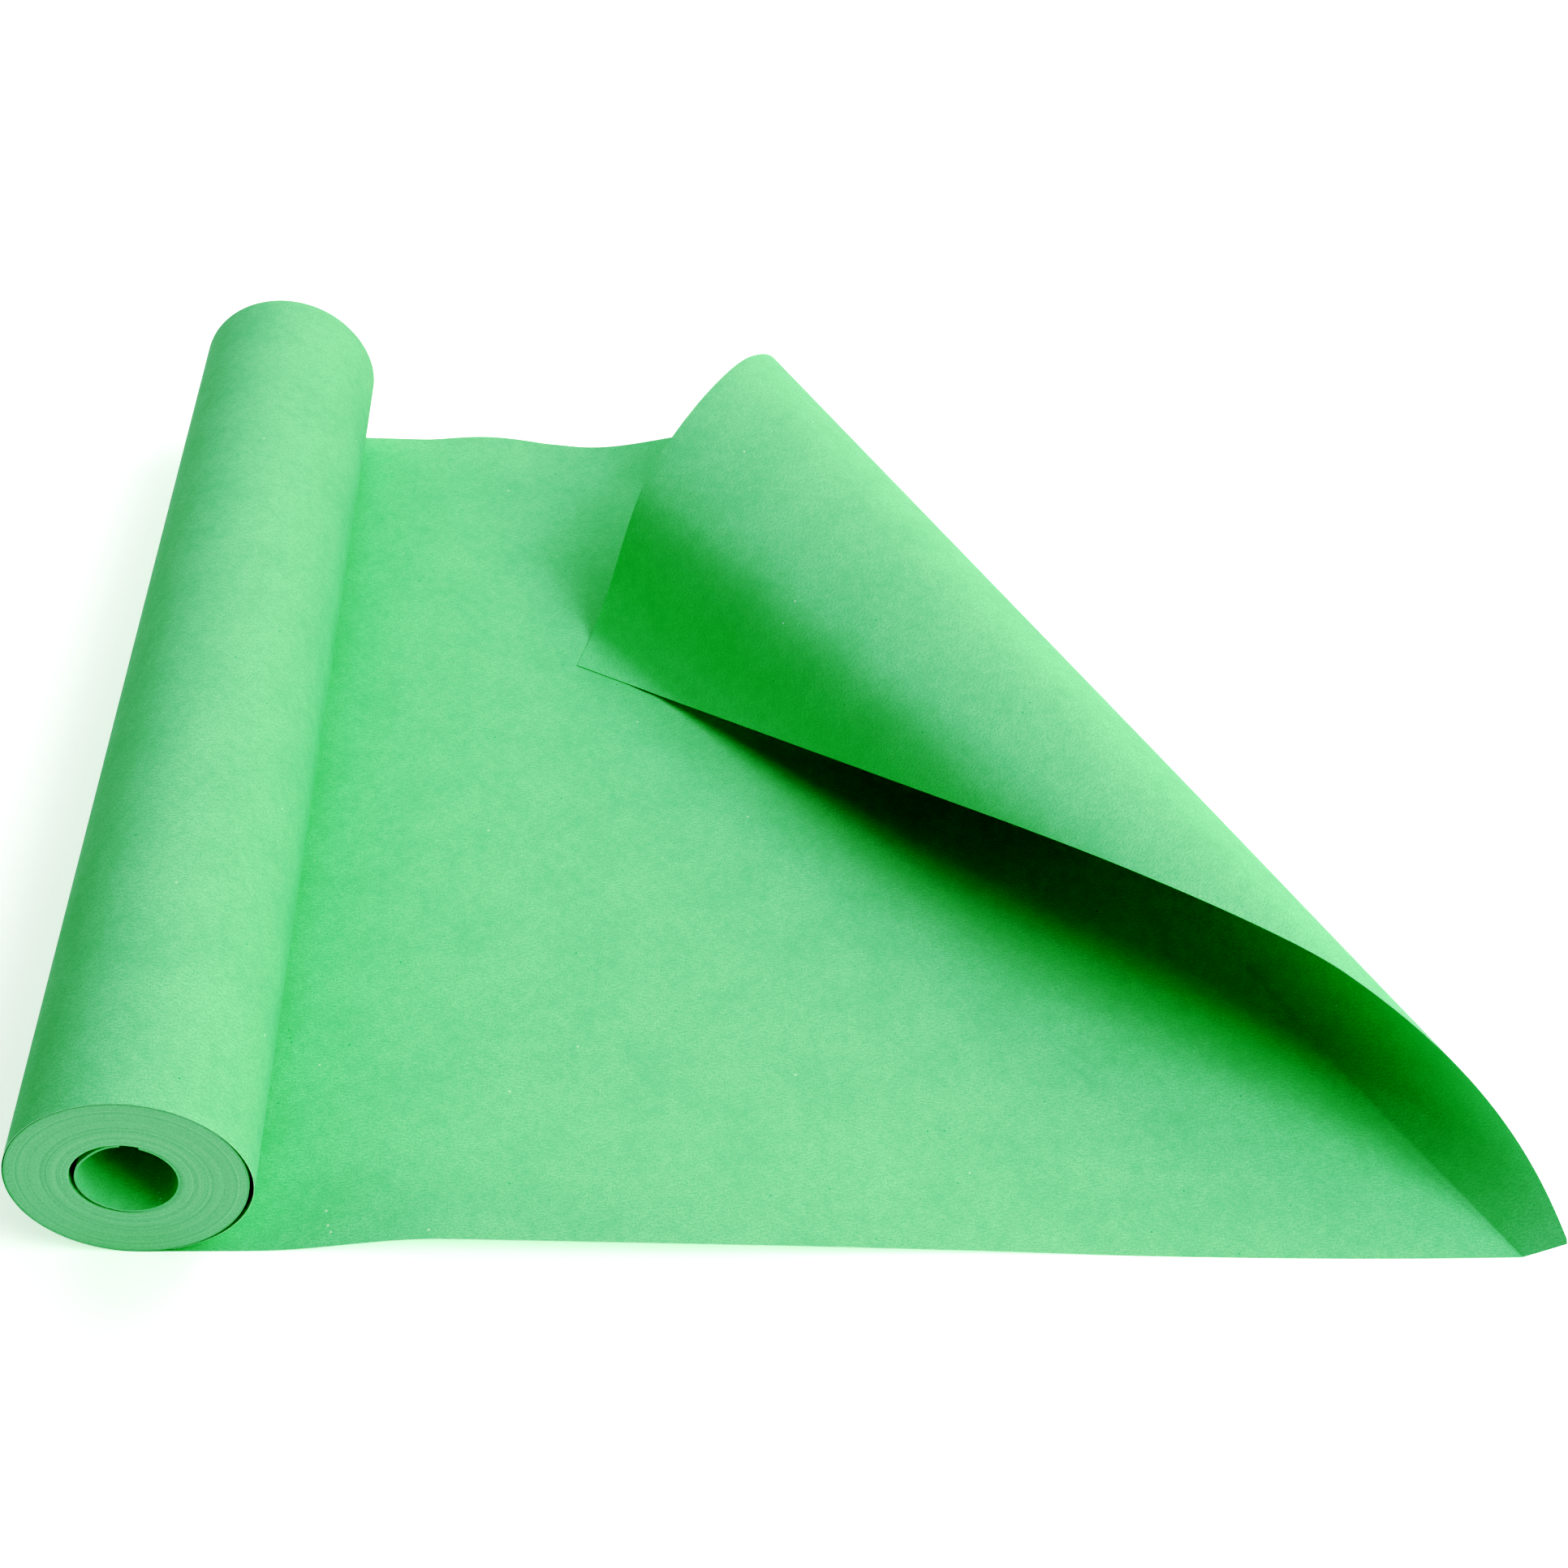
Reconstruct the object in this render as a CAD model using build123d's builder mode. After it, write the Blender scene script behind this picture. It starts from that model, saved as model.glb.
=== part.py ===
from build123d import *

import os
from math import ceil, cos, pi, radians, sin

# A coreless roll of kraft paper on a table, unrolled to the right by about its own width, with
# the far corner of the loose end turned up and over onto the sheet.
# Millimetres. +X is the way the paper unrolls, +Y runs along the roll away from its front end,
# and +Z is up. The origin is in the middle of the roll's hole.

# ---- driving dimensions ----
paper_width = 457.2  # 18 in, and so the length of the roll
sheet_length = 463.0  # flat web from under the roll's axis to its cut end
roll_radius = 36.5  # to the outside of the loose outermost turn
hole_radius = 15.0  # to the inside of the sprung innermost turns
web = 0.3  # thickness of the web's solids; the paper itself is 0.12, too thin to mesh soundly
running_gap = 0.15  # between the wound pack and the outermost turn, which it turns inside

# The outermost turn stands off the pack in a crescent on the side where the paper leaves it.
crescent_gap = 1.1  # widest part of that crescent
crescent_from = 45.0  # where it opens, in degrees up from +X
crescent_to = -75.0  # where it closes, and where the outermost turn ends

# The innermost turns have sprung inwards from the pack.
sprung_turns = 0.7  # their thickness together
sprung_gap = 1.5  # widest gap between them and the pack
sprung_clearance = 0.02  # left between them where they lie against the pack
sprung_gap_at = 150.0  # direction of the widest gap, in degrees up from +X
sprung_slot_from = 70.0  # the free end is at the top: the ring is open between these two angles
sprung_slot_to = 88.0

# The flat web is split in two places, for the roll's travel.
nip_end = 36.0  # end of the strip that stays with the roll, from under the roll's axis
payout_clearance = 10.2  # from the stretch that lengthens to the fold's first line


# ---- the turned-back corner ----
# Paper bends without stretching only along straight lines. The lines of this fold fan out from a
# point near the front corner of the sheet. Each bend carries the fold on from the last: the fan
# point first slides along the fold's last line, then the line swings through the fan angle while
# the paper turns. The rate is degrees of turn for each degree of fan, and it runs evenly from one
# bend's value to the next.
fan_from_cut_end = 14.0  # the fan point: this far back from the cut end of the web,
fan_past_front_edge = 4.4  # and this far out beyond the front edge
first_line = 55.2  # angle of the line where the paper leaves the table, from the web's length
first_rate = 11.0
bends = (
    # slide of the fan point, fan angle, rate at the end
    (0, 3.6, -4),  # the corner lifts
    (0, 2.9, 29),  # it rises
    (-1450, 0.9, 59),  # it starts to roll over
    (0, 1.6, 29),  # the tight part of the roll
    (1100, 1.5, 8),  # past the upright
    (0, 2.0, 6),  # over the crest
    (0, 2.4, 13),  # it comes down
    (-180, 2.1, -6),  # it nears the sheet
    (0, 2.2, 0),  # it settles flat at the tip
)
fan_step = 0.05  # the fold is worked out in steps of this fan angle, degrees
section_turn = 4.0  # the fold's solid is cut at least this often: by the paper's turn, degrees,
section_travel = 12.0  # and by how far it goes along the back edge
tip_width = 4.0  # the tip's solid ends blunt, at this width or a little over
crest_turn = 180.0  # the crest is where the paper has turned upside down

# ---- derived sizes ----
half_width = paper_width / 2
table = -roll_radius  # height of the table's top
pack_radius = roll_radius - web - running_gap
pack_hole_radius = hole_radius + sprung_turns + sprung_gap / 2
pack_hole_offset = sprung_gap / 2 - sprung_clearance
fan_u = sheet_length - fan_from_cut_end  # along the web, from under the roll's axis
fan_v = -half_width - fan_past_front_edge  # across the web, from its middle


class FoldLine:
    """One straight line of the fold: its fan point and angle in the flat web, and its place."""

    def __init__(self, flat_point, angle, point, along, across, turned):
        self.flat_point = flat_point
        self.angle = angle
        self.point = point
        self.along = along  # the way the line runs, away from the front of the sheet
        self.across = across  # the way the paper goes on, in the paper and square to the line
        self.turned = turned

    def slid(self, distance):
        """The same line, with its fan point moved along it."""
        u, v = self.flat_point
        u -= distance * cos(radians(self.angle))
        v += distance * sin(radians(self.angle))
        return FoldLine(
            (u, v),
            self.angle,
            self.point + self.along * distance,
            self.along,
            self.across,
            self.turned,
        )

    def swung(self, fan, turn):
        """The next line: the line swings by fan in the paper, which turns by turn about it."""
        normal = self.across.cross(self.along)
        along = self.along.rotate(Axis((0, 0, 0), normal), -fan)
        across = self.across.rotate(Axis((0, 0, 0), normal), -fan)
        across = across.rotate(Axis((0, 0, 0), along), -turn)
        return FoldLine(
            self.flat_point, self.angle + fan, self.point, along, across, self.turned + turn
        )

    def reaches(self):
        """How far along the line it meets the front edge, the cut end and the back edge."""
        u, v = self.flat_point
        angle = radians(self.angle)
        to_front_edge = (-half_width - v) / sin(angle)
        to_cut_end = (u - sheet_length) / cos(angle)
        to_back_edge = (half_width - v) / sin(angle)
        return to_front_edge, to_cut_end, to_back_edge

    def start(self):
        """How far along the line the paper starts."""
        to_front_edge, to_cut_end, _ = self.reaches()
        return max(to_front_edge, to_cut_end)

    def length(self):
        """Length of the line in the paper."""
        return self.reaches()[2] - self.start()

    def starts_on_cut_end(self):
        to_front_edge, to_cut_end, _ = self.reaches()
        return to_cut_end > to_front_edge

    def foot(self):
        """Where the line starts, on the front edge or the cut end."""
        return self.point + self.along * self.start()

    def head(self):
        """Where the line stops, on the back edge."""
        return self.foot() + self.along * self.length()

    def plane(self):
        """The plane of the line: X along it and Y out of the paper's upper side."""
        return Plane(origin=self.foot(), x_dir=self.along, z_dir=self.across)


def fold_lines():
    """Every line of the fold, from where it leaves the table to the tip."""
    angle = radians(first_line)
    line = FoldLine(
        (fan_u, fan_v),
        first_line,
        Vector(fan_u, fan_v, table),
        Vector(-cos(angle), sin(angle), 0),
        Vector(sin(angle), cos(angle), 0),
        0.0,
    )
    lines = [line]
    rate = first_rate
    for slide, fan, end_rate in bends:
        line = line.slid(slide)
        steps = ceil(fan / fan_step)
        for step in range(steps):
            here = rate + (end_rate - rate) * (step + 0.5) / steps
            line = line.swung(fan / steps, here * fan / steps)
            if line.length() < tip_width:
                return lines
            lines.append(line)
        rate = end_rate
    return lines


def sections(lines):
    """The lines where the fold's solid is cut: its ends, its outline's corner, and by spacing."""
    picked = [lines[0]]
    for before, line in zip(lines, lines[1:]):
        last = picked[-1]
        at_corner = line.starts_on_cut_end() and not before.starts_on_cut_end()
        gone = (line.head() - last.head()).length
        turn = abs(line.turned - last.turned)
        if at_corner or gone >= section_travel or turn >= section_turn or line is lines[-1]:
            picked.append(line)
    return picked


lines = fold_lines()
crest = next(i for i, line in enumerate(lines) if line.turned >= crest_turn)
first_foot = lines[0].foot()
first_head = lines[0].head()
payout_end = first_head.X - payout_clearance

# ---- the web on the table ----
# Its part under the turned-back corner is whole; the fold starts at its slanting right side.
with BuildPart() as laid_sheet:
    with BuildSketch(Plane.XY.offset(table)):
        with BuildLine():
            Polyline(
                (payout_end, -half_width),
                (first_foot.X, -half_width),
                (first_head.X, half_width),
                (payout_end, half_width),
                close=True,
            )
        make_face()
    extrude(amount=web)

with BuildPart(Plane.XY.offset(table)) as payout_stretch:
    with Locations((nip_end, 0)):
        Box(payout_end - nip_end, paper_width, web, align=(Align.MIN, Align.CENTER, Align.MIN))

with BuildPart(Plane.XY.offset(table)) as nip_lead:
    Box(nip_end, paper_width, web, align=(Align.MIN, Align.CENTER, Align.MIN))

# ---- the turned-back corner: the web cut along line after line of the fold, and lofted ----
with BuildPart() as fold_rise:
    for line in sections(lines[: crest + 1]):
        with BuildSketch(line.plane()):
            Rectangle(line.length(), web, align=(Align.MIN, Align.MIN))
    loft(ruled=True)

with BuildPart() as turned_corner:
    for line in sections(lines[crest:]):
        with BuildSketch(line.plane()):
            Rectangle(line.length(), web, align=(Align.MIN, Align.MIN))
    loft(ruled=True)


# ---- the roll ----
def crescent(angle):
    """How far the outermost turn stands off at this angle: nothing at the crescent's two ends."""
    return crescent_gap * sin(pi * (angle - crescent_from) / (crescent_to - crescent_from)) ** 2


def around(radius, angle):
    """The point at this radius and angle about the roll's axis."""
    return (radius * cos(radians(angle)), radius * sin(radians(angle)))


# The outermost turn leaves the table under the axis, goes up the left side and over the top, and
# comes down the right side in the crescent.
bottom = -90
crescent_angles = [crescent_from + i * (crescent_to - crescent_from) / 12 for i in range(13)]
with BuildPart() as outer_turn:
    with BuildSketch(Plane.XZ):
        with BuildLine():
            for wall in (roll_radius, roll_radius - web):
                CenterArc((0, 0), wall, bottom, crescent_from - bottom - 360)
                Spline(
                    *[around(wall + crescent(angle), angle) for angle in crescent_angles],
                    tangents=[around(1, angle - 90) for angle in (crescent_from, crescent_to)],
                )
            for end in (bottom, crescent_to):
                Line(around(roll_radius, end), around(roll_radius - web, end))
        make_face()
    extrude(amount=half_width, both=True)

with BuildPart() as wound_pack:
    with BuildSketch(Plane.XZ):
        Circle(pack_radius)
        with Locations(around(pack_hole_offset, sprung_gap_at)):
            Circle(pack_hole_radius, mode=Mode.SUBTRACT)
    extrude(amount=half_width, both=True)

with BuildPart() as inner_turns:
    with BuildSketch(Plane.XZ):
        with BuildLine():
            for wall in (hole_radius, hole_radius + sprung_turns):
                CenterArc((0, 0), wall, sprung_slot_to, sprung_slot_from - sprung_slot_to + 360)
            for end in (sprung_slot_from, sprung_slot_to):
                Line(around(hole_radius, end), around(hole_radius + sprung_turns, end))
        make_face()
    extrude(amount=half_width, both=True)

# ---- labels and files ----
os.makedirs("parts", exist_ok=True)
for name, piece in (
    ("laid_sheet", laid_sheet),
    ("payout_stretch", payout_stretch),
    ("nip_lead", nip_lead),
    ("fold_rise", fold_rise),
    ("turned_corner", turned_corner),
    ("outer_turn", outer_turn),
    ("wound_pack", wound_pack),
    ("inner_turns", inner_turns),
):
    piece.part.label = name
    export_step(piece.part, f"parts/{name}.step")

print("tip at", lines[-1].foot(), "and", lines[-1].foot().Z - table, "above the table")
print("crest from", lines[crest].foot(), "to", lines[crest].head())
print("stretch ends at", payout_end)
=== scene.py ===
# %% [markdown]
# # A roll of kraft paper with one corner turned back
# The object is one long web of green kraft paper. Most of it is wound up without a core, the
# outermost turn sits loosely round the rest, and about one width of it is unrolled over a table.
# The far corner of the loose end is turned up and over, back onto the sheet.
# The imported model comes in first, as the frame that everything else is built around.

# %% Load the frame
from math import ceil, cos, degrees, hypot, pi, radians, sin, sqrt

import bpy
from mathutils import Matrix, Vector, noise


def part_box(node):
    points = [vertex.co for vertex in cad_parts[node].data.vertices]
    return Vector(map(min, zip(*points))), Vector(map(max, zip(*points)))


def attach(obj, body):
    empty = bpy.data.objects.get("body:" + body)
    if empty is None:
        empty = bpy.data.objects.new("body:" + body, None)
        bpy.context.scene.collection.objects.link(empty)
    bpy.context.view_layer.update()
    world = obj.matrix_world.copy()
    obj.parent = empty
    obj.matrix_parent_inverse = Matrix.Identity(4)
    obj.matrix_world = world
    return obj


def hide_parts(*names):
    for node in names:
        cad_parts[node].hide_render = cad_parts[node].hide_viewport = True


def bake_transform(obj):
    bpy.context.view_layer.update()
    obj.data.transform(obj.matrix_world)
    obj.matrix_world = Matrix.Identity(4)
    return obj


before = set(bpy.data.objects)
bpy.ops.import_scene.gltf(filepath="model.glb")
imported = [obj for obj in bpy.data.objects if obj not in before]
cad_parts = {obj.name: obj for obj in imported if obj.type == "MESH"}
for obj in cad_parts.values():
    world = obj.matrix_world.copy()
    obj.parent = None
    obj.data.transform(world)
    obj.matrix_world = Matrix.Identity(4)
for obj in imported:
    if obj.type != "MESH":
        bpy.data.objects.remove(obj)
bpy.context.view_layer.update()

# %% [markdown]
# ## Sizes
# The frame stands with the roll's axis along Y and the origin in the middle of its hole. The
# paper's width, the table's height and the places of the sprung turns are read from it.
# Blender works in metres, so a small helper value, mm, keeps the sizes readable.

# %% Read the sizes from the frame
mm = 0.001
sheet_low, sheet_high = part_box("laid_sheet")
ring_low, ring_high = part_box("inner_turns")
table = sheet_low.z
half_width = sheet_high.y
roll_radius = -table
ring_outside = ring_high.x
thickness = 0.18 * mm  # a little over the real 0.12, so that a cut edge still catches light
print("width", 2 * half_width, "roll radius", roll_radius, "ring", ring_outside)

# %% [markdown]
# ## Camera
# The viewpoint stands in front of the sheet, a little to the right of the roll, and looks down
# at about 42 degrees. It is turned a few degrees to the right and leans a few degrees to one
# side. The lens is a normal one, and nothing is shifted.

# %% Set up the camera
camera = bpy.data.objects.new("camera", bpy.data.cameras.new("camera"))
bpy.context.scene.collection.objects.link(camera)
camera.data.sensor_width = 36
camera.data.lens = 49.8
camera.data.clip_start = 0.02
look_right, look_down, lean = radians(7.18), radians(42.48), radians(5.71)
camera.matrix_world = (
    Matrix.Translation((135.2 * mm, -634.9 * mm, table + 580.7 * mm))
    @ Matrix.Rotation(-look_right, 4, "Z")
    @ Matrix.Rotation(pi / 2 - look_down, 4, "X")
    @ Matrix.Rotation(lean, 4, "Z")
)
bpy.context.scene.camera = camera
print("camera at", tuple(camera.matrix_world.translation))

# %% [markdown]
# ## Light
# Paper is lit softly from nearly all round, so that it reads as matt. Here a ring of big soft
# boxes hangs round the table. The side with the roll is left without one, which darkens the
# roll's left side, the face of the turned-back corner and the hollow under the fold.
# The world behind the table shows white to the camera alone, and gives almost no light.

# %% Hang the soft boxes
aim = Vector((200 * mm, 0, 0))


def hang_soft_box(name, place, size, power):
    """A square soft box of size metres and power watts at place, facing the middle."""
    lamp = bpy.data.lights.new(name, "AREA")
    lamp.shape = "SQUARE"
    lamp.size = size
    lamp.energy = power
    holder = bpy.data.objects.new(name, lamp)
    bpy.context.scene.collection.objects.link(holder)
    holder.location = place
    holder.rotation_euler = (aim - Vector(place)).to_track_quat("-Z", "Y").to_euler()


key_power = 15  # watts, in the brightest box
back_power, top_power, fill_power = key_power / 2, key_power / 4, key_power / 10
hang_soft_box("box_front_right", (1.25, -0.8, 1.2), 1.0, key_power)
hang_soft_box("box_front", (0.2, -1.4, 1.2), 1.0, fill_power)
hang_soft_box("box_top_right", (1.1, 0.0, 1.3), 1.0, top_power)
hang_soft_box("box_top", (0.5, 0.0, 1.5), 1.4, top_power)
hang_soft_box("box_back_right", (1.2, 1.0, 1.1), 1.0, back_power)
hang_soft_box("box_back", (0.2, 1.5, 1.0), 1.2, back_power)
hang_soft_box("box_back_left", (-0.9, 1.0, 1.2), 1.2, back_power)
world = bpy.data.worlds.new("studio")
bpy.context.scene.world = world
world.use_nodes = True
background = world.node_tree.nodes["Background"]
background.inputs["Color"].default_value = (1, 1, 1, 1)
seen = world.node_tree.nodes.new("ShaderNodeLightPath").outputs["Is Camera Ray"]
strength = world.node_tree.nodes.new("ShaderNodeMapRange")
strength.inputs["To Min"].default_value = 0.045  # as light: hardly any
strength.inputs["To Max"].default_value = 1.0  # as the camera sees it: white
world.node_tree.links.new(seen, strength.inputs["Value"])
world.node_tree.links.new(strength.outputs["Result"], background.inputs["Strength"])

# %% [markdown]
# ## Contrast
# One curve in the scene's colour management deepens the shades, the same way in red, green and
# blue, so greys stay grey. Light below its dark end goes to black, and above its full end hardly
# anything changes. Shaded green paper has little red in it, so its red goes first and its green
# looks richer. The curve belongs to the picture: without it, the materials look paler.

# %% Set the picture's contrast
dark_end, full_end = 0.05, 0.3
curve_steps = 12  # points set along the curve, evenly, from black to the full end


def deepened(light):
    """The picture's light for the scene's: it comes in smoothly between the two ends."""
    share = min(max((light - dark_end) / (full_end - dark_end), 0), 1)
    return light * share * share * (3 - 2 * share)


display = bpy.context.scene.view_settings
display.view_transform = "Standard"
display.use_curve_mapping = True
for curve in display.curve_mapping.curves[:3]:
    for step in range(1, curve_steps + 1):
        scene_light = full_end * step / curve_steps
        curve.points.new(scene_light, deepened(scene_light))
    for point in curve.points:
        point.handle_type = "AUTO_CLAMPED"
display.curve_mapping.update()
print("light 0.2 is shown as", deepened(0.2))

# %% [markdown]
# ## Table
# A plain pale top, well larger than what the camera sees.

# %% Lay the table top
bpy.ops.object.select_all(action="DESELECT")
floor_gap = 0.1 * mm
bpy.ops.mesh.primitive_plane_add(size=3.4, location=(0.2, 0.1, table - floor_gap))
floor = bpy.context.object
floor.name = "table_top"
laminate = bpy.data.materials.new("white_laminate")
laminate.use_nodes = True
shader = laminate.node_tree.nodes["Principled BSDF"]
shader.inputs["Base Color"].default_value = (1, 1, 1, 1)
shader.inputs["Roughness"].default_value = 0.9
shader.inputs["Emission Color"].default_value = (1, 1, 1, 1)
shader.inputs["Emission Strength"].default_value = 0.4
floor.data.materials.append(laminate)
print("table top at", floor.location.z)

# %% [markdown]
# ## Helpers for materials
# Colours are written as a designer would, in hex, and one function turns them to linear light.
# One more adds a shader node with its settings, and links what is given as another's output.

# %% Colour and node helpers


def linear(hex_colour):
    """An sRGB hex colour as linear RGBA."""
    channels = [int(hex_colour[i : i + 2], 16) / 255 for i in (1, 3, 5)]
    return (*[c / 12.92 if c <= 0.04045 else ((c + 0.055) / 1.055) ** 2.4 for c in channels], 1)


def add_node(tree, kind, inputs=(), **settings):
    """A new node: settings are its own values, inputs its sockets' values or their links."""
    made = tree.nodes.new(kind)
    for name, value in settings.items():
        setattr(made, name, value)
    for socket, value in dict(inputs).items():
        if isinstance(value, bpy.types.NodeSocket):
            tree.links.new(value, made.inputs[socket])
        else:
            made.inputs[socket].default_value = value
    return made


def new_material(name):
    """A material with its tree and its shader."""
    material = bpy.data.materials.new(name)
    material.use_nodes = True
    return material, material.node_tree, material.node_tree.nodes["Principled BSDF"]


print("white is", linear("#ffffff"))

# %% [markdown]
# ## Kraft paper
# Kraft paper is unbleached or dyed wood pulp, dried on a machine and left uncoated. That gives a
# matt face, soft clouds where the fibres lie denser, a fine mottle of single fibres, and now and
# then a dark or a pale speck of bark or undyed fibre.
# The pattern follows the paper's own flat coordinates, which every sheet here carries as a UV
# map in metres, so that it runs on over the roll, the table and the fold without a break.

# %% Build the kraft paper material
face_green, thin_green, fibre_green = "#7fd492", "#79ce8c", "#9be9ab"
dark_speck, pale_speck = "#4db374", "#c9f2d3"

paper, tree, shader = new_material("dyed_kraft_paper")
flat_place = add_node(tree, "ShaderNodeUVMap", uv_map="flat")
in_mm = add_node(
    tree,
    "ShaderNodeMapping",
    {"Vector": flat_place.outputs["UV"], "Scale": (1000, 1000, 1000)},
).outputs["Vector"]


# the next four add their nodes to tree, and patches reads in_mm: both are set by the cell that
# makes a material, before it calls them
def patches(size, detail):
    """Noise whose patches are this many mm across."""
    inputs = {"Vector": in_mm, "Scale": 1 / size, "Detail": detail}
    return add_node(tree, "ShaderNodeTexNoise", inputs).outputs["Fac"]


def combine(operation, first, second):
    """One number from two."""
    return add_node(
        tree, "ShaderNodeMath", {0: first, 1: second}, operation=operation
    ).outputs["Value"]


def spread(value, low, high, most=1.0):
    """The value, stretched so that low gives 0 and high gives most."""
    inputs = {"Value": value, "From Min": low, "From Max": high, "To Max": most}
    return add_node(tree, "ShaderNodeMapRange", inputs).outputs["Result"]


def mixed(share, first, second):
    """Two colours mixed. A colour Mix has sockets of three kinds: 6 and 7 are its colours."""
    return add_node(
        tree, "ShaderNodeMix", {0: share, 6: first, 7: second}, data_type="RGBA"
    ).outputs[2]


# single fibres lie every way: two stretched layers, 2.4 by 0.4 mm, cross each other
fibre_layers = []
for turn in (25, -50):
    laid = add_node(
        tree,
        "ShaderNodeMapping",
        {"Vector": in_mm, "Rotation": (0, 0, radians(turn)), "Scale": (1 / 2.4, 1 / 0.4, 1)},
    ).outputs["Vector"]
    fibre_layers.append(add_node(tree, "ShaderNodeTexNoise", {"Vector": laid, "Scale": 1.0}))
crossed = combine("MULTIPLY", fibre_layers[0].outputs["Fac"], fibre_layers[1].outputs["Fac"])
mottle = combine("ADD", patches(0.6, 3.0), crossed)
grain = mixed(spread(mottle, 0.52, 0.95), linear(face_green), linear(fibre_green))

# the pulp's uneven formation: clouds about 25 mm across, and smaller ones in them
clouds = combine("ADD", patches(25, 2.0), patches(5, 2.0))
colour = mixed(spread(clouds, 0.8, 1.3, most=0.4), grain, linear(thin_green))

# specks: one in some of the cells, and these cells are 7 and 11 mm wide
for cell, speck_colour, share in ((7, dark_speck, 0.3), (11, pale_speck, 0.3)):
    spots = add_node(tree, "ShaderNodeTexVoronoi", {"Vector": in_mm, "Scale": 1 / cell})
    near = spread(spots.outputs["Distance"], 0.05, 0.028)
    lot = add_node(tree, "ShaderNodeSeparateColor", {"Color": spots.outputs["Color"]})
    kept = combine("LESS_THAN", lot.outputs["Red"], share)
    colour = mixed(combine("MULTIPLY", near, kept), colour, linear(speck_colour))
tree.links.new(colour, shader.inputs["Base Color"])

# the face is felted: tiny hills as high as a fibre is thick
hills = add_node(
    tree, "ShaderNodeBump", {"Height": mottle, "Strength": 0.4, "Distance": 0.15 * mm}
)
tree.links.new(hills.outputs["Normal"], shader.inputs["Normal"])
shader.inputs["Roughness"].default_value = 0.85
shader.inputs["IOR"].default_value = 1.5
shader.inputs["Specular IOR Level"].default_value = 0.25
print("material", paper.name, "with", len(tree.nodes), "nodes")

# %% [markdown]
# ## The cut edge
# Where the web was cut, the fibres stand open and catch the light, and that light is painted into
# the rim: a thin pale rim, a painted highlight, runs along it. It is as thick as the paper, and
# frayed: its shade changes every half millimetre or so.

# %% Build the cut edge's material
cut_edge, tree, shader = new_material("kraft_cut_edge_painted_highlight")
place = add_node(tree, "ShaderNodeTexCoord").outputs["Object"]
in_mm = add_node(
    tree, "ShaderNodeMapping", {"Vector": place, "Scale": (1000, 1000, 1000)}
).outputs["Vector"]
frayed = spread(patches(0.5, 2.0), 0.35, 0.65)
# the pale rim colours are a painted highlight for the light the cut edge catches
colour = mixed(frayed, linear("#9be3aa"), linear("#c8f5d2"))
tree.links.new(colour, shader.inputs["Base Color"])
shader.inputs["Roughness"].default_value = 0.95
shader.inputs["Specular IOR Level"].default_value = 0.1
print("material", cut_edge.name)

# %% [markdown]
# ## Sheets from rows of points
# A sheet of paper hardly stretches as it bends, so it is made in mesh code, from rows of points
# that are each worked out from their place in the flat web. The flat places go into the UV map.
# Solidify then gives the paper its thickness, half on each side.

# %% Make a sheet from its rows


def make_sheet(name, rows, flat_rows, thick=thickness, edges=cut_edge):
    """A paper sheet from rows of points and of their places in the flat web."""
    across = len(rows[0])
    points = [point for row in rows for point in row]
    flat = [place for row in flat_rows for place in row]
    faces = []
    for i in range(len(rows) - 1):
        for j in range(across - 1):
            corner = i * across + j
            faces.append((corner, corner + across, corner + across + 1, corner + 1))
    mesh = bpy.data.meshes.new(name)
    mesh.from_pydata(points, [], faces)
    layer = mesh.uv_layers.new(name="flat")
    for loop in mesh.loops:
        layer.data[loop.index].uv = flat[loop.vertex_index]
    sheet = bpy.data.objects.new(name, mesh)
    bpy.context.scene.collection.objects.link(sheet)
    bpy.ops.object.select_all(action="DESELECT")
    sheet.select_set(True)
    bpy.context.view_layer.objects.active = sheet
    bpy.ops.object.mode_set(mode="EDIT")
    bpy.ops.mesh.select_all(action="SELECT")
    bpy.ops.mesh.remove_doubles(threshold=0.001 * mm)
    bpy.ops.object.mode_set(mode="OBJECT")
    solidify = sheet.modifiers.new("paper", "SOLIDIFY")
    solidify.thickness = thick
    solidify.offset = 0
    solidify.material_offset_rim = 1
    sheet.data.materials.append(paper)
    sheet.data.materials.append(edges)
    bpy.ops.object.modifier_apply(modifier=solidify.name)
    bpy.ops.object.shade_smooth_by_angle(angle=radians(40))
    return sheet


def bump(t):
    """A soft hump: 1 at t = 0, and exactly 0 from t = 1 on either side."""
    return (1 - t * t) ** 2 if abs(t) < 1 else 0.0


def ease(t):
    """From 0 to 1, starting and ending gently."""
    t = min(max(t, 0.0), 1.0)
    return t * t * (3 - 2 * t)


print("a hump is", bump(0), "high and", bump(1), "at its foot")

# %% [markdown]
# ## The fold's straight lines
# Paper bends without stretching only along straight lines. The lines of this fold fan out from
# a point near the front corner of the sheet. For each bend the fan point first slides along the
# fold's last line, and then the line swings through the fan angle while the paper turns about
# it. The rate is degrees of turn for each degree of fan. These are the values of the CAD model.

# %% Work out the fold's lines
sheet_length = 463.0 * mm
fan_from_cut_end = 14.0 * mm
fan_past_front_edge = 4.4 * mm
first_line = 55.2
first_rate = 11.0
bends = (  # slide of the fan point in mm, fan angle, rate at the end
    (0, 3.6, -4),
    (0, 2.9, 29),
    (-1450, 0.9, 59),
    (0, 1.6, 29),
    (1100, 1.5, 8),
    (0, 2.0, 6),
    (0, 2.4, 13),
    (-180, 2.1, -6),
    (0, 2.2, 0),
)
fan_step = 0.05
points_across = 110


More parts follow.
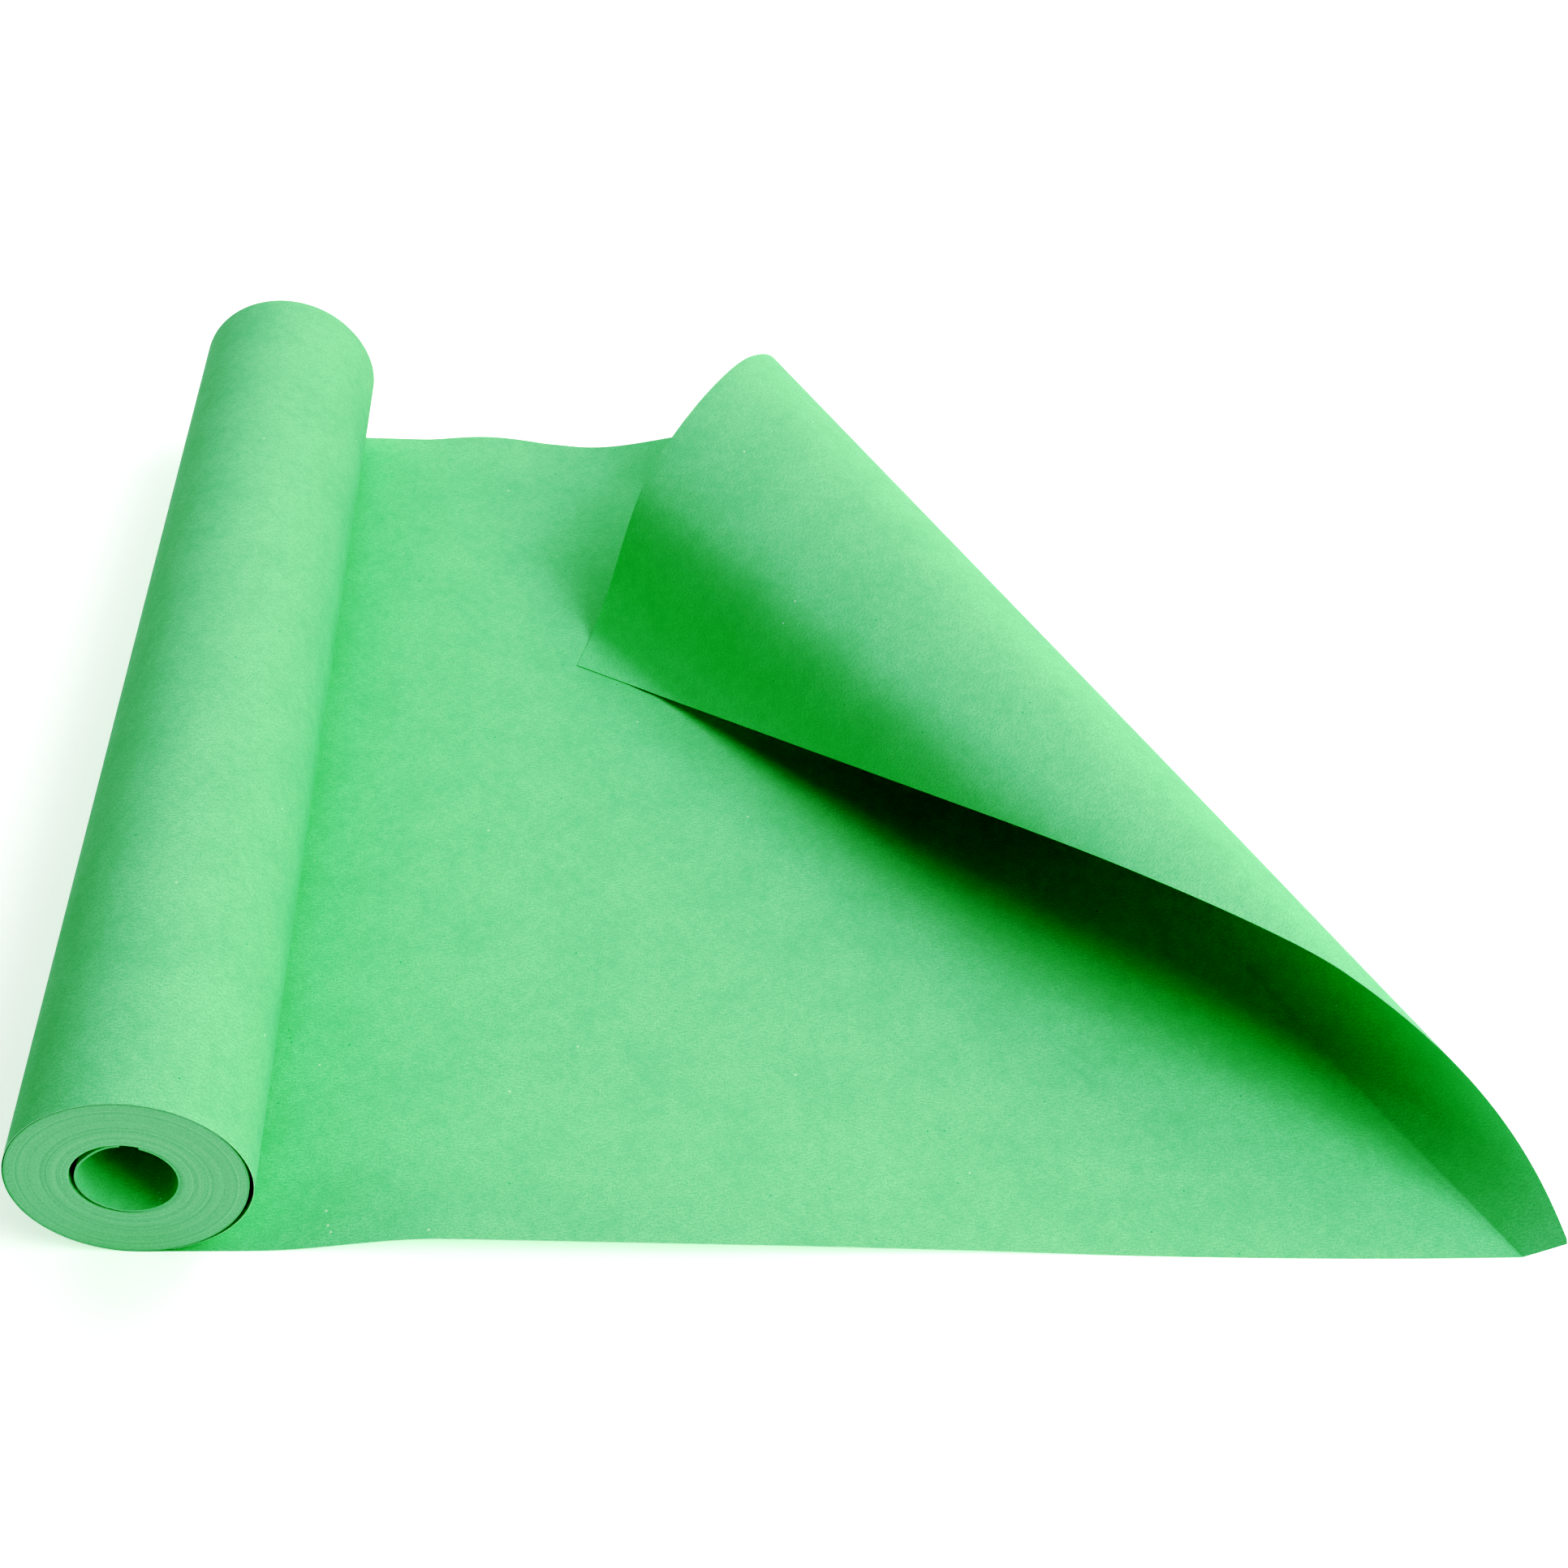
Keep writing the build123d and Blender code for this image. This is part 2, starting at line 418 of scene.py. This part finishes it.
def line_rows(angle, u, v, point, along):
    """A fold line's points from the cut edge to the back edge, their flat places, its length."""
    start = max((-half_width - v) / sin(angle), (u - sheet_length) / cos(angle))
    length = max((half_width - v) / sin(angle) - start, 0.0)
    row, flat_row = [], []
    for j in range(points_across + 1):
        reach = start + length * j / points_across
        row.append(point + along * reach)
        flat_row.append((u - reach * cos(angle), v + reach * sin(angle)))
    return row, flat_row, length


def fold_lines():
    """Every line of the fold, each with its points, their flat places and how far it has turned."""
    angle = radians(first_line)
    u = sheet_length - fan_from_cut_end
    v = -half_width - fan_past_front_edge
    point = Vector((u, v, table + thickness / 2))
    along = Vector((-cos(angle), sin(angle), 0))
    across = Vector((sin(angle), cos(angle), 0))
    turned = 0.0
    rate = first_rate
    lines = [(*line_rows(angle, u, v, point, along), turned)]
    for slide, fan, end_rate in bends:
        u -= slide * mm * cos(angle)
        v += slide * mm * sin(angle)
        point = point + along * slide * mm
        steps = ceil(fan / fan_step)
        for step in range(steps):
            swing = radians(fan / steps)
            turn = (rate + (end_rate - rate) * (step + 0.5) / steps) * swing
            swung = Matrix.Rotation(-swing, 3, across.cross(along))
            along, across = swung @ along, swung @ across
            across = Matrix.Rotation(-turn, 3, along) @ across
            angle += swing
            turned += degrees(turn)
            lines.append((*line_rows(angle, u, v, point, along), turned))
            if lines[-1][2] == 0:
                return lines
        rate = end_rate
    return lines


most_turn, most_travel = 2, 5 * mm  # degrees and metres between two rows of the mesh


def picked(lines):
    """The lines that the mesh needs: the next once the paper has turned or gone far enough."""
    kept = [lines[0]]
    for line in lines:
        gone = (line[0][-1] - kept[-1][0][-1]).length
        turned = abs(line[3] - kept[-1][3])
        if turned >= most_turn or gone >= most_travel or line is lines[-1]:
            kept.append(line)
    return kept


lines = fold_lines()
fold = picked(lines)
print(len(lines), "lines, of which the mesh uses", len(fold), "turned", lines[-1][3])
print("tip at", lines[-1][0][-1])

# %% [markdown]
# ## The turned-back corner
# The fold and the corner are one sheet. It starts on a slanting line a little before the fold,
# where the paper is still flat on the table, so that it meets the rest of the web without a
# crease. The corner comes down steeply, and its very tip has bent flat where it rests on the
# sheet. So the lowest part of the corner is let down, and slides back a little as it goes. That
# moves it by up to 18 mm from where the fold's lines alone would put it, and stretches the paper
# there a little.
# The web's two long edges aren't dead straight either, which one small function gives them.

# %% Make the turned web
lead = 7 * mm  # flat strip before the fold's first line
rest_height = 0.45 * mm  # of the tip above the table: on the sheet, and just clear of it
tip_bend = 11.5 * mm  # what was lower than this lies flat
let_down_to = 62 * mm  # what is higher than this stays where it is
soft_bend = 1.6 * mm  # height over which the flat tip bends up
let_down_way = Vector((0.08, 1.15, -1))


def settled(point):
    """A point of the corner after its lowest part is let down onto the sheet."""
    height = point.z - table
    fade = 1 - ease((height - tip_bend) / (let_down_to - tip_bend))
    lowered = max(height - tip_bend * fade, 0)
    if height < tip_bend * 1.5:
        lowered = rest_height + (lowered + hypot(lowered, soft_bend) - soft_bend) / 2
    else:
        lowered = rest_height * fade + lowered
    return point + let_down_way * (height - lowered)


roll_drawn_in = 2.7 * mm  # how far each end of the roll is in from the web's full width
far_full_at = 30 * mm  # the far edge is back at full width this far from under the roll's axis
near_eases_from, near_eases_over = 60 * mm, 130 * mm  # the near edge eases back from here
far_dip, far_dip_at, far_dip_reach = 4.0 * mm, 153 * mm, 50 * mm
near_bulge, near_bulge_at, near_bulge_reach = 2.6 * mm, 410 * mm, 150 * mm


def edge_drift(u, v):
    """How far a point of the flat web is off square, along Y.

    The far edge dips once, the near edge bulges once, and both are drawn in at the roll.
    """
    dip = -far_dip * bump((u - far_dip_at) / far_dip_reach)
    bulge = -near_bulge * bump((u - near_bulge_at) / near_bulge_reach)
    far = dip - roll_drawn_in * (1 - ease(u / far_full_at))
    near = bulge + roll_drawn_in * (1 - ease((u - near_eases_from) / near_eases_over))
    return far * ease(v / half_width) + near * ease(-v / half_width)


rows, flat_rows = [], []
first_row, first_flat = fold[0][0], fold[0][1]
for back in (lead, lead / 2):
    rows.append([point - Vector((back, 0, 0)) for point in first_row])
    flat_rows.append([(u - back, v) for u, v in first_flat])
for line in fold:
    rows.append([settled(point) if line[3] > 180 else point for point in line[0]])
    flat_rows.append(line[1])
rows = [
    [point + Vector((0, edge_drift(u, v), 0)) for point, (u, v) in zip(row, flat_row)]
    for row, flat_row in zip(rows, flat_rows)
]
turned_web = make_sheet("turned_web", rows, flat_rows)
print("turned web", len(turned_web.data.polygons), "faces")

# %% [markdown]
# ## The rest of the web
# From the fold the web runs flat along the table to the roll. It passes under the roll's axis,
# goes up the left side and over the top as the loose outermost turn, and comes down the right
# side, where it stands off the wound pack in a crescent. Its edges don't lie quite flat: both
# rise a little, as paper that was rolled up tight does.

# %% Make the loose web
web_radius = roll_radius - thickness / 2
crescent_gap, crescent_from, crescent_to = 1.1 * mm, 45, -75
turn_steps = 172  # rows round the outermost turn, about 2 degrees each


def round_the_roll(angle):
    """The outermost turn at this angle up from +X, from 270 under the axis down to -75."""
    stand_off = 0.0
    if angle < crescent_from:
        stand_off = sin(pi * (angle - crescent_from) / (crescent_to - crescent_from)) ** 2
    radius = web_radius + crescent_gap * stand_off
    return radius * cos(radians(angle)), radius * sin(radians(angle))


front_rise, front_rise_width = 6.6 * mm, 75 * mm  # its height, and how far in from the edge
front_grows_from, front_grows_over = 34 * mm, 60 * mm
front_fades_from, front_fades_over = 150 * mm, 180 * mm
back_rise, back_rise_width = 2.4 * mm, 50 * mm
back_rise_at, back_rise_reach = 88 * mm, 30 * mm


def rise(x, y):
    """How far the flat web stands off the table: it rises along its front and back edges."""
    grown = ease((x - front_grows_from) / front_grows_over)
    along = grown * (1 - ease((x - front_fades_from) / front_fades_over))
    front = front_rise * along * bump((y + half_width) / front_rise_width)
    humped = bump((x - back_rise_at) / back_rise_reach)
    back = back_rise * humped * bump((y - half_width) / back_rise_width)
    return front + back


def on_the_table(x, y):
    """A point of the flat web, with its rises and its edges' drift."""
    return Vector((x, y + edge_drift(x, y), table + thickness / 2 + rise(x, y)))


rows, flat_rows = [], []
ys = [-half_width + 2 * half_width * j / points_across for j in range(points_across + 1)]
for i in range(turn_steps, 0, -1):
    angle = 270 - (270 - crescent_to) * i / turn_steps
    x, z = round_the_roll(angle)
    rows.append([Vector((x, y + edge_drift(0, y), z)) for y in ys])
    gone = web_radius * radians(270 - angle)
    flat_rows.append([(-gone, y) for y in ys])
straight_end = 116 * mm  # rows stand square to the web up to here, and then slant to the seam
straight_rows, slanting_rows = 30, 70
for i in range(straight_rows + 1):
    x = straight_end * i / straight_rows
    rows.append([on_the_table(x, y) for y in ys])
    flat_rows.append([(x, y) for y in ys])
seam = [point.x - lead for point in first_row]
for i in range(1, slanting_rows + 1):
    xs = [straight_end + (end - straight_end) * i / slanting_rows for end in seam]
    rows.append([on_the_table(x, y) for x, y in zip(xs, ys)])
    flat_rows.append(list(zip(xs, ys)))
loose_web = make_sheet("loose_web", rows, flat_rows)
print("loose web", len(loose_web.data.polygons), "faces")

# %% [markdown]
# ## Edges of the wound turns
# On the roll's end face nothing but cut edges shows. They scatter light more than the face does and
# sit in each other's shade, and that shade is painted into the colour: the end is a duller green.
# Rings of painted highlight and painted shade run over it, for the turns that stand a hair proud
# and catch more light, and the same rings give a small relief. One turn is 0.12 mm thick, too fine
# to show, so the rings are drawn from noise along the radius, coarse and fine together.

# %% Build the end face's material
wound_edges, tree, shader = new_material("cut_edges_of_wound_kraft")
place = add_node(tree, "ShaderNodeTexCoord").outputs["Object"]
in_mm = add_node(
    tree, "ShaderNodeMapping", {"Vector": place, "Scale": (1000, 1000, 1000)}
).outputs["Vector"]
axes = add_node(tree, "ShaderNodeSeparateXYZ", {"Vector": in_mm})
squares = [combine("MULTIPLY", axes.outputs[axis], axes.outputs[axis]) for axis in ("X", "Z")]
radius = combine("SQRT", combine("ADD", *squares), 0)
rings_drawn = []
for scale, detail in ((0.35, 2.0), (2.2, 3.0)):
    inputs = {"W": radius, "Scale": scale, "Detail": detail}
    ring = add_node(tree, "ShaderNodeTexNoise", inputs, noise_dimensions="1D")
    rings_drawn.append(ring.outputs["Fac"])
ring_relief_and_painted_light = combine("ADD", combine("ADD", *rings_drawn), patches(0.7, 4.0))
# the duller green is painted shade and the brighter one a painted highlight, mixed in rings
painted_shade_green, painted_highlight_green = "#80c78f", "#9ce1a7"
colour = mixed(spread(ring_relief_and_painted_light, 1.05, 1.95), linear(painted_shade_green), linear(painted_highlight_green))
tree.links.new(colour, shader.inputs["Base Color"])
shader.inputs["Roughness"].default_value = 0.95
shader.inputs["Specular IOR Level"].default_value = 0.1
relief = add_node(
    tree, "ShaderNodeBump", {"Height": ring_relief_and_painted_light, "Strength": 0.3, "Distance": 0.1 * mm}
)
tree.links.new(relief.outputs["Normal"], shader.inputs["Normal"])
print("material", wound_edges.name)

# %% [markdown]
# ## The wound pack
# A roll has hundreds of turns. Modelled one by one they would be far too many faces, and nobody
# could see between them. Instead one solid is modelled as by hand: a cylinder whose end faces
# are inset ring after ring, each a hair deeper or prouder than the last, as the edges of wound
# paper are. The hole in the middle is off centre, because the innermost turns have sprung in.

# %% Model the pack
pack_radius = roll_radius - thickness - 0.25 * mm
sprung_gap = 1.5 * mm  # widest gap between the inner turns and the pack
sprung_gap_at = radians(150)  # and where it is
sprung_turns = 0.7 * mm  # thickness of the inner turns together
hole_radius = ring_outside + sprung_gap / 2
hole_shift = Vector((cos(sprung_gap_at), 0, sin(sprung_gap_at))) * (sprung_gap / 2 - 0.02 * mm)
rings = 30
ring_relief, relief_pace = 0.22 * mm, 0.37  # how far rings stand out, and how soon that changes
roll_length = 2 * (half_width - roll_drawn_in)

bpy.ops.object.select_all(action="DESELECT")
bpy.ops.mesh.primitive_cylinder_add(
    vertices=160, radius=pack_radius, depth=roll_length, rotation=(pi / 2, 0, 0)
)
pack = bpy.context.object
pack.name = "wound_pack_turns"
bpy.ops.object.transform_apply(location=True, rotation=True, scale=True)


def select_faces(thing, wanted):
    """In edit mode, select just the faces for which wanted(face) holds."""
    bpy.ops.mesh.select_all(action="DESELECT")
    bpy.ops.object.mode_set(mode="OBJECT")
    for face in thing.data.polygons:
        face.select = wanted(face)
    bpy.ops.object.mode_set(mode="EDIT")


bpy.ops.object.mode_set(mode="EDIT")
bpy.ops.mesh.select_mode(type="FACE")
for side in (-1, 1):
    select_faces(pack, lambda face: len(face.vertices) > 4 and face.center.y * side > 0)
    step = (pack_radius - hole_radius) / rings
    for ring in range(rings):
        relief = ring_relief * noise.noise(Vector((ring * relief_pace, side * 5.0, 0)))
        bpy.ops.mesh.inset(thickness=step, depth=relief, use_even_offset=False)
        bpy.ops.transform.translate(value=hole_shift / rings)
select_faces(pack, lambda face: len(face.vertices) > 4)
bpy.ops.mesh.bridge_edge_loops()
bpy.ops.object.mode_set(mode="OBJECT")
bpy.ops.object.shade_smooth_by_angle(angle=radians(40))
pack.data.materials.append(wound_edges)
print("pack", len(pack.data.polygons), "faces")

# %% [markdown]
# ## The sprung inner turns
# With no core to hold them, the innermost turns have sprung inwards as one thin band. Its free
# end is at the top, close against the pack, and from there it runs round anticlockwise, standing
# off the pack at the upper left and closing onto it again at the right.
# It is a sheet like the others, so it is made from rows of points too, and thickened at the end.

# %% Make the sprung turns


def hole_wall(angle):
    """How far the pack's hole is from the axis at this angle, in radians."""
    away = hole_shift.length
    turned_by = angle - sprung_gap_at
    return away * cos(turned_by) + sqrt(hole_radius**2 - (away * sin(turned_by)) ** 2)


band_from, band_to = 91, 431  # degrees up from +X, anticlockwise from the free end at the top
band_steps, band_across = 96, 40
band_clearance = 0.06 * mm  # from the pack, where the band lies against it
opens_over, closes_from, closes_over = 48, 165, 150  # degrees
rows, flat_rows = [], []
for i in range(band_steps + 1):
    degree = band_from + (band_to - band_from) * i / band_steps
    opens = ease((degree - band_from) / opens_over)
    closes = 1 - ease((degree - closes_from) / closes_over)
    stand_off = band_clearance + sprung_gap * opens * closes
    radius = hole_wall(radians(degree)) - stand_off - sprung_turns / 2
    x, z = radius * cos(radians(degree)), radius * sin(radians(degree))
    flat_u = ring_outside * radians(degree - band_from)
    row_ys = [roll_length * (j / band_across - 0.5) for j in range(band_across + 1)]
    rows.append([Vector((x, y, z)) for y in row_ys])
    flat_rows.append([(flat_u, y) for y in row_ys])
sprung_band = make_sheet(
    "sprung_inner_turns", rows, flat_rows, thick=sprung_turns, edges=wound_edges
)
print("sprung band", len(sprung_band.data.polygons), "faces")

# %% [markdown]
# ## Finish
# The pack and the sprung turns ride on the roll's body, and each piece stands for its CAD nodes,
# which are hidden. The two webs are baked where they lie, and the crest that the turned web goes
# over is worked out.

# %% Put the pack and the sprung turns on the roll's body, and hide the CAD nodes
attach(pack, "roll")
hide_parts("wound_pack")
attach(sprung_band, "roll")
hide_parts("inner_turns")
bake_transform(loose_web)
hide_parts("laid_sheet", "payout_stretch", "nip_lead", "outer_turn")
crest = next(line for line in lines if line[3] >= 180)
crest_low, crest_high = crest[0][0], crest[0][-1]
crest_way = (crest_high - crest_low).normalized()
over = Vector((-0.863, -0.5, 0.6))  # roughly the way the paper goes over the crest
over = (over - crest_way * over.dot(crest_way)).normalized()
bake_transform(turned_web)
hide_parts("fold_rise", "turned_corner")
print("crest", crest_low, crest_high)
